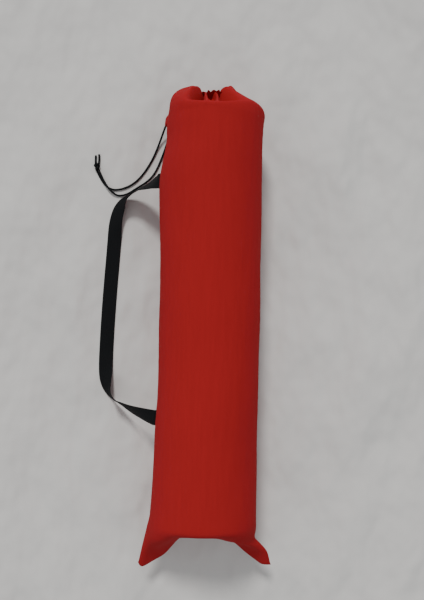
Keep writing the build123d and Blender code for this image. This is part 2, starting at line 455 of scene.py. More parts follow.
def noise_on(kit: NodeKit, scale: float, detail: float = 2.0, stretch: Point = (1, 1, 1)) -> Wire:
    """Returns noise on the piece's own place, scale times per metre, drawn out by stretch."""
    place = kit.node("ShaderNodeTexCoord")["Object"]
    drawn = kit.node("ShaderNodeMapping", {}, {"Vector": place, "Scale": tuple(stretch)})
    return kit.node("ShaderNodeTexNoise", {}, {"Vector": drawn[0], "Scale": scale, "Detail": detail})[0]


@dataclass(frozen=True)
class WovenCloth(Finish):
    """Plain-woven cloth: threads over and under, slubs, and slight unevenness of the dye."""

    pitch: float = 0.55 * MM
    relief: float = 0.09 * MM
    sheen: float = 0.0

    def paint(self, kit: NodeKit) -> tuple[Wire, Wire, float]:
        """Returns the weave."""
        u, v = weave_places(kit)
        turn = 2 * math.pi / self.pitch
        warp, weft = (u * turn).sine(), (v * turn).sine()
        over = (warp * weft).between(-0.9, 0.9)
        slub = noise_on(kit, 260.0, 2.0, (1.0, 0.06, 1.0))
        crush = noise_on(kit, 38.0, 3.0)
        dye = noise_on(kit, 7.0, 2.0)
        thread = kit.mix(over * 0.6 + slub * 0.4, self.shade(0.80), self.shade(1.16))
        colour = kit.mix((dye - 0.35) * 0.7, thread, self.shade(0.86))
        return colour, over + crush * 1.6 + slub * 0.5, self.relief

    def extras(self) -> dict[str, Any]:
        """Returns a low specular level and a sheen of loose fibres at the finish's sheen weight, which is none by
        default.
        """
        return {
            "Specular IOR Level": 0.05,
            "Sheen Weight": self.sheen,
            "Sheen Roughness": 0.5,
            "Sheen Tint": (*(min(1.0, 1.6 * c + 0.1) for c in self.colour), 1.0),
        }


@dataclass(frozen=True)
class Webbing(Finish):
    """Flat woven webbing: ribs across, warp threads along, and a tighter edge."""

    rib: float = 1.25 * MM
    width: float = 25.0 * MM

    def paint(self, kit: NodeKit) -> tuple[Wire, Wire, float]:
        """Returns the ribs. The first coordinate runs across the webbing and the second along it."""
        u, v = weave_places(kit)
        lean = (u * (2 * math.pi / (self.rib * 1.5))).sine() * 0.9
        ribs = (v * (2 * math.pi / self.rib) + lean).sine()
        warp = (u * (2 * math.pi / (0.8 * MM))).sine()
        selvedge = u.size().between(self.width / 2 - 2.2 * MM, self.width / 2 - 1.4 * MM)
        relief = (ribs * 0.7 + warp * 0.3) * (1 - selvedge * 0.6) + noise_on(kit, 500.0) * 0.5
        colour = kit.mix((ribs * 0.5 + 0.5) * 0.7 + noise_on(kit, 60.0) * 0.3, self.shade(0.7), self.shade(1.35))
        return colour, relief, 0.16 * MM


@dataclass(frozen=True)
class Braid(Finish):
    """Braided cord: two families of strands crossing round it."""

    lay: float = BRAID_LAY
    radius: float = 1.75 * MM

    def paint(self, kit: NodeKit) -> tuple[Wire, Wire, float]:
        """Returns the strands. The first coordinate runs round the cord and the second along it."""
        u, v = weave_places(kit)
        round_ = u * (4.0 / self.radius)
        along = v * (2 * math.pi / self.lay)
        first, second = (round_ + along).sine(), (round_ - along).sine()
        strands = first.maths("MAXIMUM", second)
        fibre = noise_on(kit, 900.0, 1.0)
        colour = kit.mix(strands * 0.5 + 0.4 + fibre * 0.1, self.shade(0.6), self.shade(1.5))
        return colour, strands + fibre * 0.3, 0.12 * MM


@dataclass(frozen=True)
class Thread(Finish):
    """Sewing thread, twisted."""

    twist: float = 1800.0

    def paint(self, kit: NodeKit) -> tuple[Wire, Wire, float]:
        """Returns the twist as fine noise, since each stitch is only a few millimetres long."""
        grain = noise_on(kit, self.twist, 1.0)
        return kit.mix(grain, self.shade(0.75), self.shade(1.25)), grain, 0.03 * MM


@dataclass(frozen=True)
class Foam(Finish):
    """Closed-cell foam with a skin."""

    cells: float = 650.0

    def paint(self, kit: NodeKit) -> tuple[Wire, Wire, float]:
        """Returns fine cells with wide dents."""
        place = kit.node("ShaderNodeTexCoord")["Object"]
        cell = kit.node("ShaderNodeTexVoronoi", {}, {"Vector": place, "Scale": self.cells})[0]
        dents = noise_on(kit, 30.0, 2.0)
        return kit.mix(dents, self.shade(0.85), self.shade(1.15)), cell * 0.4 + dents, 0.2 * MM


@dataclass(frozen=True)
class Moulded(Finish):
    """Smooth melted polyester, as on a cord's sealed end."""

    def paint(self, kit: NodeKit) -> tuple[Wire, Wire, float]:
        """Returns slight unevenness."""
        grain = noise_on(kit, 900.0, 2.0)
        return kit.mix(grain, self.shade(0.8), self.shade(1.2)), grain, 0.05 * MM


@dataclass(frozen=True)
class Backdrop(Finish):
    """The pale sheet on the floor, with soft creases."""

    def paint(self, kit: NodeKit) -> tuple[Wire, Wire, float]:
        """Returns an almost even pale tone over long soft creases."""
        tone = noise_on(kit, 3.0, 2.0)
        creases = noise_on(kit, 5.0, 2.5, (1.0, 0.55, 1.0)) * 0.8 + noise_on(kit, 19.0, 2.0, (0.8, 0.5, 1.0)) * 0.2
        return kit.mix(tone, self.shade(0.985), self.shade(1.015)), creases, 60.0 * MM


# ---------------------------------------------------------------------------------------------------------------
# Stitches, with Geometry Nodes
# ---------------------------------------------------------------------------------------------------------------


@dataclass
class StitchRow:
    """A tree of geometry nodes that sets one stitch after another along any line."""

    material: bpy.types.Material
    pitch: float = 3.2 * MM
    length: float = 2.5 * MM
    radius: float = 0.28 * MM
    seed: int = 7

    def tree(self) -> bpy.types.NodeTree:
        """Builds the tree."""
        tree = bpy.data.node_groups.new("stitch_row", "GeometryNodeTree")
        tree.interface.new_socket("Line", in_out="INPUT", socket_type="NodeSocketGeometry")
        for name in ("Pitch", "Length", "Radius"):
            tree.interface.new_socket(name, in_out="INPUT", socket_type="NodeSocketFloat")
        tree.interface.new_socket("Stitches", in_out="OUTPUT", socket_type="NodeSocketGeometry")
        kit = NodeKit(tree)
        given = kit.node("NodeGroupInput")
        line = kit.node("GeometryNodeMeshToCurve", {}, {"Mesh": given["Line"]})
        spots = kit.node(
            "GeometryNodeResampleCurve", {"mode": "LENGTH"}, {"Curve": line[0], "Length": given["Pitch"]}
        )
        bead = kit.node("GeometryNodeMeshUVSphere", {}, {"Segments": 8, "Rings": 6, "Radius": 1.0})
        size = kit.node(
            "ShaderNodeCombineXYZ", {}, [given["Radius"], given["Radius"], given["Length"] * 0.5]
        )
        stitch = kit.node("GeometryNodeTransform", {}, {"Geometry": bead["Mesh"], "Scale": size[0]})
        tangent = kit.node("GeometryNodeInputTangent")
        turn = kit.node("FunctionNodeAlignRotationToVector", {"axis": "Z"}, {"Vector": tangent[0]})
        vary = kit.node("FunctionNodeRandomValue", {"data_type": "FLOAT"}, {2: 0.92, 3: 1.08, "Seed": self.seed})
        placed = kit.node(
            "GeometryNodeInstanceOnPoints",
            {},
            {"Points": spots[0], "Instance": stitch[0], "Rotation": turn[0], "Scale": vary[1]},
        )
        real = kit.node("GeometryNodeRealizeInstances", {}, {"Geometry": placed[0]})
        dressed = kit.node("GeometryNodeSetMaterial", {}, {"Geometry": real[0], "Material": self.material})
        kit.node("NodeGroupOutput", {}, [dressed[0]])
        return tree

    def sew(self, name: str, lines: Sequence[np.ndarray]) -> bpy.types.Object:
        """Sews along lines.

        Args:
            name: The piece's name.
            lines: Each a row of points.

        Returns:
            The stitches as one plain mesh.
        """
        mesh = bpy.data.meshes.new(name + "_line")
        points: list[list[float]] = []
        edges: list[tuple[int, int]] = []
        for line in lines:
            first = len(points)
            points += np.asarray(line).tolist()
            edges += [(k, k + 1) for k in range(first, len(points) - 1)]
        mesh.from_pydata(points, edges, [])
        draft = bpy.data.objects.new(name + "_line", mesh)
        bpy.context.collection.objects.link(draft)
        step = draft.modifiers.new("stitches", "NODES")
        step.node_group = self.tree()
        named = {item.name: item.identifier for item in step.node_group.interface.items_tree}
        step[named["Pitch"]] = self.pitch
        step[named["Length"]] = self.length
        step[named["Radius"]] = self.radius
        return settle(draft, name, self.material)


# ---------------------------------------------------------------------------------------------------------------
# The sewn cover
# ---------------------------------------------------------------------------------------------------------------


@dataclass
class Cover:
    """The sewn cover, as one closed tube of cloth from the bottom seam to the throat of the gathered mouth.

    The cloth is worked out as a grid. A column is a thread along the bag: columns go from the left seam over the
    top to the right seam, and back underneath. A row is a thread around the bag.
    """

    cloth: bpy.types.Material
    columns: int = 384
    end_rows: int = 44
    barrel_rows: int = 112
    mouth_rows: int = 80
    axis_z: float = 80.5 * MM
    top_z: float = 163.2 * MM
    floor_z: float = 0.35 * MM
    wall: float = 0.6 * MM
    barrel_end: float = 318.0 * MM
    foot_rim: float = -328.5 * MM
    foot_length: float = 88.0 * MM
    mouth_length: float = 110.0 * MM
    girth_radius: float = 83.0 * MM
    throat: tuple[float, float] = (-6.0 * MM, 81.0 * MM)

    left_edge = (
        (-0.330, -0.0905), (-0.302, -0.0880), (-0.270, -0.0862), (-0.220, -0.0846), (-0.172, -0.0836),
        (-0.138, -0.0814), (-0.060, -0.0812), (0.026, -0.0813), (0.120, -0.0822), (0.190, -0.0844),
        (0.223, -0.0846), (0.249, -0.0812), (0.266, -0.0779), (0.280, -0.0759), (0.290, -0.0753), (0.302, -0.0757),
        (0.318, -0.0748),
    )
    right_edge = (
        (-0.330, 0.0830), (-0.270, 0.0822), (-0.210, 0.0814), (-0.130, 0.0818), (0.030, 0.0818),
        (0.120, 0.0818), (0.200, 0.0812), (0.250, 0.0809), (0.290, 0.0812), (0.318, 0.0824),
    )
    foot_seam = (
        (-0.1120, -0.4172, 0.053), (-0.1052, -0.4262, 0.048), (-0.0862, -0.4164, 0.046), (-0.0682, -0.4030, 0.051),
        (-0.0552, -0.3860, 0.058), (-0.0440, -0.3712, 0.065), (-0.0290, -0.3590, 0.072), (-0.0100, -0.3530, 0.077),
        (0.0100, -0.3530, 0.077), (0.0270, -0.3605, 0.072), (0.0400, -0.3718, 0.065), (0.0512, -0.3785, 0.060),
        (0.0690, -0.3960, 0.053), (0.0855, -0.4105, 0.047), (0.0985, -0.4190, 0.046), (0.1128, -0.4178, 0.050),
    )
    left_fin = (
        (-0.0905, -0.3285, 0.0805), (-0.0942, -0.3410, 0.0790), (-0.0976, -0.3570, 0.0750),
        (-0.1030, -0.3800, 0.0680), (-0.1120, -0.4172, 0.0530),
    )
    right_fin = (
        (0.0830, -0.3285, 0.0805), (0.0838, -0.3455, 0.0800), (0.0821, -0.3610, 0.0785),
        (0.0935, -0.3750, 0.0720), (0.1055, -0.3920, 0.0630), (0.1128, -0.4178, 0.0500),
    )
    # The gathered end by direction, in degrees from +X towards +Z: (distance from the middle, Y) down the folds.
    mouth_folds = {
        -180: ((0.0722, 0.3330), (0.0706, 0.3465), (0.0660, 0.3580), (0.0560, 0.3670), (0.0420, 0.3725),
               (0.0275, 0.3755), (0.0170, 0.3640), (0.0094, 0.3475)),
        -135: ((0.0790, 0.3290), (0.0740, 0.3410), (0.0650, 0.3530), (0.0530, 0.3620), (0.0390, 0.3680),
               (0.0270, 0.3690), (0.0180, 0.3600), (0.0094, 0.3475)),
        -90: ((0.0800, 0.3260), (0.0740, 0.3370), (0.0640, 0.3480), (0.0520, 0.3580), (0.0390, 0.3650),
              (0.0275, 0.3660), (0.0180, 0.3590), (0.0094, 0.3475)),
        -45: ((0.0815, 0.3290), (0.0755, 0.3400), (0.0660, 0.3510), (0.0530, 0.3610), (0.0400, 0.3685),
              (0.0285, 0.3700), (0.0185, 0.3610), (0.0094, 0.3475)),
        0: ((0.0836, 0.3290), (0.0800, 0.3375), (0.0688, 0.3465), (0.0560, 0.3566), (0.0430, 0.3668),
            (0.0318, 0.3778), (0.0215, 0.3640), (0.0094, 0.3475)),
        45: ((0.0815, 0.3330), (0.0758, 0.3395), (0.0650, 0.3462), (0.0520, 0.3535), (0.0390, 0.3615),
             (0.0270, 0.3655), (0.0170, 0.3660), (0.0094, 0.3475)),
        90: ((0.0818, 0.3246), (0.0745, 0.3292), (0.0620, 0.3365), (0.0490, 0.3440), (0.0360, 0.3512),
             (0.0240, 0.3565), (0.0160, 0.3560), (0.0094, 0.3475)),
        135: ((0.0782, 0.3325), (0.0732, 0.3425), (0.0640, 0.3505), (0.0520, 0.3570), (0.0385, 0.3640),
              (0.0265, 0.3676), (0.0170, 0.3630), (0.0094, 0.3475)),
    }
    # The thin folds that stand up between the hollows: (direction at the rim, direction at the throat, width).
    crests = ((100.5, 106.0, 3.0), (86.5, 70.0, 3.0))
    # Slack that rolls forward over the outer hollows: (direction, half width, Y, half height, overhang).
    lips = ((119.0, 17.0, 363.0 * MM, 7.0 * MM, 9.0 * MM), (60.0, 12.0, 361.0 * MM, 6.0 * MM, 6.0 * MM))
    hollow_depth = (
        (0.0000, 0.0), (0.0094, 0.0), (0.0120, 0.0060), (0.0160, 0.0170), (0.0240, 0.0240), (0.0360, 0.0255),
        (0.0490, 0.0215), (0.0620, 0.0145), (0.0740, 0.0075), (0.0800, 0.0010), (0.0850, 0.0),
    )

    def angles(self) -> np.ndarray:
        """Returns each column's direction round the bag, from pi at the left seam over the top to -pi."""
        return math.pi * (1 - 2 * np.arange(self.columns) / self.columns)

    def above_floor(self, z: np.ndarray, bend: float = 0.5 * MM) -> np.ndarray:
        """Flattens heights that would lie below the floor, with a soft bend."""
        return self.floor_z + np.logaddexp(0, (z - self.floor_z) / bend) * bend

    def ring_at(self, y: np.ndarray) -> np.ndarray:
        """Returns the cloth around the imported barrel.

        Args:
            y: The rows' places along the bag.
        """
        angle = self.angles()[None, :]
        y = y[:, None]
        left, right = table(self.left_edge, y), table(self.right_edge, y)
        x = (left + right) / 2 + (right - left) / 2 * np.cos(angle)
        rise = np.where(angle > 0, self.top_z - self.axis_z, self.axis_z + 2.2 * MM)
        z = self.axis_z + rise * np.sin(angle)
        z = self.above_floor(z)
        return np.stack([x, y + 0 * x, z + 0 * x], axis=-1)

    def foot(self) -> np.ndarray:
        """Returns the cloth from the bottom seam to the rim of the barrel."""
        angle = self.angles()
        across = np.where(angle >= 0, (math.pi - angle) / math.pi, (math.pi + angle) / math.pi)
        down = np.linspace(1, 0, self.end_rows)
        rim = self.ring_at(np.array([self.foot_rim]))[0]
        seam = through_even(self.foot_seam, 400)[np.rint(across * 399).astype(int)]
        left, right = (
            through_even(fin, 200)[np.rint(down * 199).astype(int)] for fin in (self.left_fin, self.right_fin)
        )
        q, v = across[None, :, None], down[:, None, None]
        corners = (1 - v) * ((1 - q) * left[-1] + q * right[-1]) + v * ((1 - q) * left[0] + q * right[0])
        patch = (1 - v) * rim + v * seam + (1 - q) * left[:, None] + q * right[:, None] - corners
        # Away from the middle the two layers leave the roll gently and fall together into flat corners.
        fin = ease(np.abs(across - 0.5), 0.10, 0.42)[None, :]
        fall = down[:, None] ** (1 + 1.4 * fin)
        flat = 1 - fin * ease(down, 0.3, 1.0)[:, None]
        level = (1 - across[None, :]) * left[:, None, 2] + across[None, :] * right[:, None, 2]
        plane = self.axis_z + (seam[None, :, 2] - self.axis_z) * down[:, None] ** 1.5
        plane = plane + (level - plane) * fin * (1 - down[:, None])
        patch[..., 2] = plane + (rim[None, :, 2] - self.axis_z) * (1 - fall) * flat
        return patch

    def mouth(self) -> np.ndarray:
        """Returns the cloth from the barrel's upper end to the throat."""
        angle = self.angles()
        folds = np.array([self.mouth_folds[key] for key in sorted(self.mouth_folds)])
        wrapped = np.concatenate([folds[-1:], folds, folds[:2]])
        place = (np.degrees(angle) + 180) / 45 + 1
        profile = through(wrapped, place)
        start = self.ring_at(np.array([self.barrel_end]))[0]
        middle = np.array([0.0, self.axis_z])
        out = np.hypot(start[:, 0] - middle[0], start[:, 2] - middle[1])
        first = np.stack([out, start[:, 1]], axis=-1)[:, None]
        profile = np.concatenate([first, profile], axis=1)
        steps = np.linspace(0, profile.shape[1] - 1, self.mouth_rows + 1)[1:]
        curve = np.stack([through(line, steps) for line in profile], axis=1)
        radius, y = curve[..., 0], curve[..., 1]
        turn = np.degrees(angle)[None, :]
        radius, y = self.pleat(radius, y, turn)
        shift = ease(steps, 1.0, 7.0)[:, None]
        heading = np.arctan2(start[:, 2] - middle[1], start[:, 0] - middle[0])[None, :]
        heading = heading + (angle[None, :] - heading) * shift
        x = shift * self.throat[0] + radius * np.cos(heading)
        z = self.axis_z + shift * (self.throat[1] - self.axis_z) + radius * np.sin(heading)
        z = self.above_floor(z)
        return np.stack([x, y, z], axis=-1)

    def pleat(self, radius: np.ndarray, y: np.ndarray, turn: np.ndarray) -> tuple[np.ndarray, np.ndarray]:
        """Folds the gathered end into pleats.

        Args:
            radius: Distance from the middle.
            y: Place along the bag.
            turn: Direction in degrees, one for each column.

        Returns:
            The folded radius and y.
        """
        inward = ease(radius, 72 * MM, 16 * MM)
        upper = ease(turn - 42 + 14 * inward, 0, 11) * ease(turn, 131, 122)
        upper = upper * (1 - 0.66 * hump(turn, 93.5 - 5.5 * inward, 7 + 11 * inward))
        stand = sum(
            hump(turn, rim + (throat - rim) * inward, width * (1 + 0.9 * inward))
            for rim, throat, width in self.crests
        )
        y = y - table(self.hollow_depth, radius) * upper * (1 - np.clip(stand, 0, 1))
        deep = ease(radius, 81 * MM, 71 * MM) * ease(radius, 10 * MM, 20 * MM)
        rng = np.random.default_rng(11)
        loose = sum(
            rng.uniform(0.5, 1.0) * np.cos(np.radians(turn * k) + rng.uniform(0, 2 * math.pi))
            for k in (9, 11, 14, 17)
        )
        y = y + 1.7 * MM * loose * deep * (1 - upper) * ease(radius, 76 * MM, 45 * MM)
        fine = gathers(np.radians(turn))
        near = ease(radius, 34 * MM, 17 * MM)
        y = y + 1.3 * MM * fine * near * ease(radius, 9.4 * MM, 13 * MM)
        radius = radius + 0.8 * MM * fine * near
        for middle, half, level, height, overhang in self.lips:
            radius = radius + overhang * hump(turn, middle, half) * hump(y, level, height)
        # A corner of slack cloth sticks out low on the strap side, where the cords come round.
        radius = radius + 10.0 * MM * hump(turn, -164, 7) * ease(y, 0.309, 0.316) * ease(y, 0.343, 0.331)
        return radius, y

    def grid(self) -> np.ndarray:
        """Returns the whole cover's points."""
        barrel = self.ring_at(self.foot_rim + self.barrel_run())
        rows = np.concatenate([self.foot(), barrel[1:], self.mouth()])
        rim = hump(rows[..., 1], self.foot_rim, 16 * MM)
        whole = soften(soften(rows, 3), 28, rim)
        seam = np.abs(np.sin(self.angles()))[None, :] * self.girth_radius
        u = self.angles()[None, :] * self.girth_radius
        v = self.lengths()[:, None]
        inward = whole - np.array([0.0, 0.0, self.axis_z])
        inward[..., 1] = 0
        inward = unit(inward)
        body = ease(whole[..., 1], -0.345, -0.300) * ease(whole[..., 1], 0.345, 0.310)
        on_floor = ease(whole[..., 2], 3 * MM, 14 * MM)
        relief = 0.55 * MM * ripple(u, v * 0.45, 3, finest=0.05)
        relief = relief + 0.16 * MM * ripple(u * 1.6, v * 0.5, 5, finest=0.016)
        pucker = np.sin(2 * math.pi * v / 0.011 + 2 * ripple(u, v, 8, 6, 0.03))
        pucker = 0.22 * MM * pucker * hump(seam, 0, 7 * MM)
        groove = -0.45 * MM * hump(seam, 0, 2.0 * MM)
        push = (relief + pucker + groove) * body * on_floor
        return whole + inward * push[..., None]

    def barrel_run(self) -> np.ndarray:
        """Returns the barrel's rows by distance from the foot's rim, closer together near both rims."""
        spaced = np.linspace(-1, 1, self.barrel_rows)
        return (self.barrel_end - self.foot_rim) * (0.5 + 0.5 * (1.4 * spaced - 0.4 * spaced**3))

    def lengths(self) -> np.ndarray:
        """Returns each row's distance along the cloth from the bottom seam."""
        end = np.linspace(0, self.foot_length, self.end_rows)
        barrel = end[-1] + self.barrel_run()[1:]
        mouth = barrel[-1] + np.linspace(0, self.mouth_length, self.mouth_rows + 1)[1:]
        return np.concatenate([end, barrel, mouth])

    def seam_line(self, edge: Sequence[tuple[float, float]], inset: float) -> np.ndarray:
        """Returns the line of a side seam's stitches, just inside the cloth.

        Args:
            edge: The barrel's edge that the seam follows.
            inset: How far the stitches lie inside the edge; negative on the right.
        """
        y = np.linspace(-0.31, 0.305, 160)
        return np.stack([table(edge, y) + inset, y, np.full_like(y, self.axis_z + 2.5 * MM)], axis=-1)

    def build(self) -> tuple[bpy.types.Object, bpy.types.Object]:
        """Makes the front and the back panel."""
        whole = self.grid()
        whole = np.concatenate([whole, whole[:, :1]], axis=1)
        around = np.linspace(0, 2 * math.pi * self.girth_radius, self.columns + 1)
        uv = np.stack(np.broadcast_arrays(around[None, :], self.lengths()[:, None]), axis=-1)
        half = self.columns // 2
        panels = []
        for name, span in (("cover_front", slice(0, half + 1)), ("cover_back", slice(half, None))):
            mesh = grid_mesh(name, whole[:, span], uv[:, span], flip=True)
            panels.append(thicken(name, mesh, self.cloth, self.wall))
        return panels[0], panels[1]


@dataclass
class MouthHem:
    """The drawstring channel, gathered round the throat, whose edge flares out into a ruffle."""

    cloth: bpy.types.Material
    middle: tuple[float, float] = (-6.0 * MM, 81.0 * MM)
    columns: int = 324
    # Round the ruffle's own section: (distance from the middle, Y), from the throat to the lip and back.
    section = (
        (0.0054, 0.3480), (0.0054, 0.3525), (0.0078, 0.3558), (0.0120, 0.3575), (0.0170, 0.3587), (0.0213, 0.3600),
        (0.0222, 0.3590), (0.0176, 0.3566), (0.0134, 0.3545), (0.0112, 0.3515), (0.0106, 0.3475), (0.0080, 0.3460),
    )

    def build(self) -> bpy.types.Object:
        """Makes the ring."""
        loop = np.array(self.section + self.section[:3])
        line = through(loop, np.linspace(1, len(self.section) + 1, 49)[:-1])
        angle = np.linspace(0, 2 * math.pi, self.columns, endpoint=False)
        wave = gathers(angle)[None, :]
        flare = ease(line[:, 0], 0.0090, 0.0215)[:, None]
        lift = np.sin(angle)[None, :]
        radius = line[:, :1] + MM * (0.35 * wave + 1.5 * wave * flare)
        right = hump(np.degrees(angle), 38, 48)[None, :]
        y = line[:, 1:] + MM * flare * (0.8 * wave + 1.0 + 0.5 * lift + 4.5 * right)
        x = self.middle[0] + radius * np.cos(angle)
        z = self.middle[1] + radius * np.sin(angle)
        points = np.stack([x, y, z], axis=-1)
        rows, columns = radius.shape
        uv = np.stack(
            np.broadcast_arrays(np.linspace(0, 0.26, columns + 1)[None, :], np.linspace(0, 0.04, rows + 1)[:, None]),
            axis=-1,
        )
        return new_object("mouth_channel", grid_mesh("mouth_channel", points, uv, Wrap.BOTH), self.cloth)

    def stitch_line(self) -> np.ndarray:
        """Returns the line of the channel's stitches, just inside the lip."""
        angle = np.linspace(0, 2 * math.pi, 160)
        wave = gathers(angle)
        radius = 12.4 * MM + 0.9 * MM * wave
        return np.stack(
            [
                self.middle[0] + radius * np.cos(angle),
                0.3583 + 0.7 * MM * wave - 0.6 * MM * np.sin(angle),
                self.middle[1] + radius * np.sin(angle),
            ],
            axis=-1,
        )


@dataclass
class RolledMat:
    """The foam mat inside, rolled up and squeezed to the cover's width."""

    foam: bpy.types.Material
    cover: Cover
    length: float = 640.0 * MM
    thickness: float = 9.4 * MM
    pitch: float = 10.0 * MM
    inner: float = 18.5 * MM
    gap: float = 1.6 * MM
    outer_end: float = -100.0

    def spiral(self) -> np.ndarray:
        """Returns the mat's section: out along its inner face and back along its outer face, in (x, z)."""
        reach = self.cover.top_z - self.cover.axis_z - self.gap
        turns = (reach - self.thickness - self.inner) / self.pitch
        last = math.radians(self.outer_end)
        angle = np.linspace(last - 2 * math.pi * turns, last, int(turns * 72))
        radius = self.inner + self.pitch * (angle - angle[0]) / (2 * math.pi)
        radius = np.minimum(radius, reach - self.thickness)
        faces = []
        for lift in (np.zeros_like(angle), np.full_like(angle, self.thickness)):
            faces.append(np.stack([(radius + lift) * np.cos(angle), (radius + lift) * np.sin(angle)], axis=-1))
        middle = radius + self.thickness / 2
        swell = np.linspace(0, math.pi, 7)[1:-1]
        caps = []
        for k, way in ((-1, 1), (0, -1)):
            spot, bulge = angle[k] + way * 0.45 * self.thickness * np.sin(swell) / middle[k], np.cos(swell)
            caps.append((middle[k] - way * bulge * self.thickness / 2, spot))
        rounded = [np.stack([r * np.cos(a), r * np.sin(a)], axis=-1) for r, a in caps]
        return np.concatenate([faces[0], rounded[0], faces[1][::-1], rounded[1]])

    def build(self) -> bpy.types.Object:
        """Makes the mat, with slightly rounded ends."""
        section = self.spiral()
        reach = self.cover.top_z - self.cover.axis_z - self.gap
        half = self.length / 2
        inner = np.linspace(-half + 4 * MM, half - 4 * MM, 26)
        y = np.concatenate([[-half, -half + 0.8 * MM], inner, [half - 0.8 * MM, half]])
        left, right = table(self.cover.left_edge, y) + self.gap, table(self.cover.right_edge, y) - self.gap
        centre, wide = (left + right) / 2, (right - left) / 2 / reach
        x = centre[:, None] + wide[:, None] * section[None, :, 0]
        z = self.cover.axis_z + np.broadcast_to(section[None, :, 1], x.shape)
        z = np.maximum(z, self.cover.floor_z + 1.2 * MM)
        points = np.stack([x, np.broadcast_to(y[:, None], x.shape), z], axis=-1)
        uv = np.zeros((len(y), len(section) + 1, 2))
        mesh = grid_mesh("mat_roll", points, uv, Wrap.AROUND)
        closed_ends(mesh, len(section), len(y))
        return new_object("mat_roll", mesh, self.foam)


# ---------------------------------------------------------------------------------------------------------------
# Strap
# ---------------------------------------------------------------------------------------------------------------


@dataclass
class Strap:
    """The shoulder strap: one length of webbing from seam to seam, twisted on edge at its two turns."""

    webbing: bpy.types.Material
    width: float = 25.0 * MM
    thickness: float = 1.5 * MM
    rows: int = 420
    # A point on the middle line and how far the outer edge leans down, in degrees.
    route = (
        (-0.0812, 0.2215, 0.0805, 0), (-0.0860, 0.2215, 0.0802, 3), (-0.0905, 0.2213, 0.0780, 13),
        (-0.0978, 0.2209, 0.0690, 33), (-0.1093, 0.2193, 0.0540, 52), (-0.1227, 0.2172, 0.0385, 67),
        (-0.1350, 0.2130, 0.0275, 76), (-0.1437, 0.2075, 0.0200, 75), (-0.1515, 0.2015, 0.0150, 60),
        (-0.1585, 0.1935, 0.0105, 40), (-0.1643, 0.1830, 0.0080, 28), (-0.1685, 0.1686, 0.0062, 21),
        (-0.1706, 0.1548, 0.0045, 14), (-0.1720, 0.1310, 0.0016, 1), (-0.1740, 0.1000, 0.0010, 0),
        (-0.1790, 0.0200, 0.0010, 0), (-0.1820, -0.0500, 0.0010, 0), (-0.1827, -0.0950, 0.0024, 5),
        (-0.1807, -0.1205, 0.0080, 31), (-0.1745, -0.1370, 0.0128, 56), (-0.1625, -0.1500, 0.0215, 77),
        (-0.1460, -0.1572, 0.0320, 64), (-0.1284, -0.1620, 0.0465, 47), (-0.1060, -0.1652, 0.0660, 25),
        (-0.0945, -0.1664, 0.0750, 11), (-0.0870, -0.1670, 0.0802, 0), (-0.0812, -0.1670, 0.0805, 0),
    )

    def frames(self) -> tuple[np.ndarray, np.ndarray, np.ndarray]:
        """Returns the middle line, the direction towards the outer edge, and the face's direction."""
        data = through_even([(*spot[:3], math.radians(spot[3]) * 0.02) for spot in self.route], self.rows)
        line, lean = data[:, :3], data[:, 3] / 0.02
        ahead = unit(np.gradient(line, axis=0))
        level = unit(np.cross(ahead, np.array([0.0, 0.0, 1.0])))
        up = np.cross(level, ahead)
        outer = level * np.cos(lean)[:, None] - up * np.sin(lean)[:, None]
        return line, outer, np.cross(outer, ahead)

    def build(self) -> bpy.types.Object:
        """Makes the webbing."""
        line, outer, face = self.frames()
        half, edge = self.width / 2, self.thickness / 2
        flat = np.linspace(-half + edge, half - edge, 13)
        arc = np.radians([60, 30, 0, -30, -60])
        near, far = half - edge + edge * np.cos(arc), -half + edge - edge * np.cos(arc[::-1])
        across = np.concatenate([flat, near, flat[::-1], far])
        up = np.concatenate(
            [np.full(13, edge), edge * np.sin(arc), np.full(13, -edge), edge * np.sin(arc[::-1])]
        )
        points = line[:, None] + outer[:, None] * across[None, :, None] + face[:, None] * up[None, :, None]
        run = run_along(line)
        places = np.append(across, across[0])
        uv = np.stack(np.broadcast_arrays(places[None, :], run[:, None]), axis=-1)
        mesh = grid_mesh("strap_webbing", points, uv, Wrap.AROUND)
        closed_ends(mesh, len(across), len(line))
        return new_object("strap_webbing", mesh, self.webbing)


# ---------------------------------------------------------------------------------------------------------------
# Drawstring
# ---------------------------------------------------------------------------------------------------------------


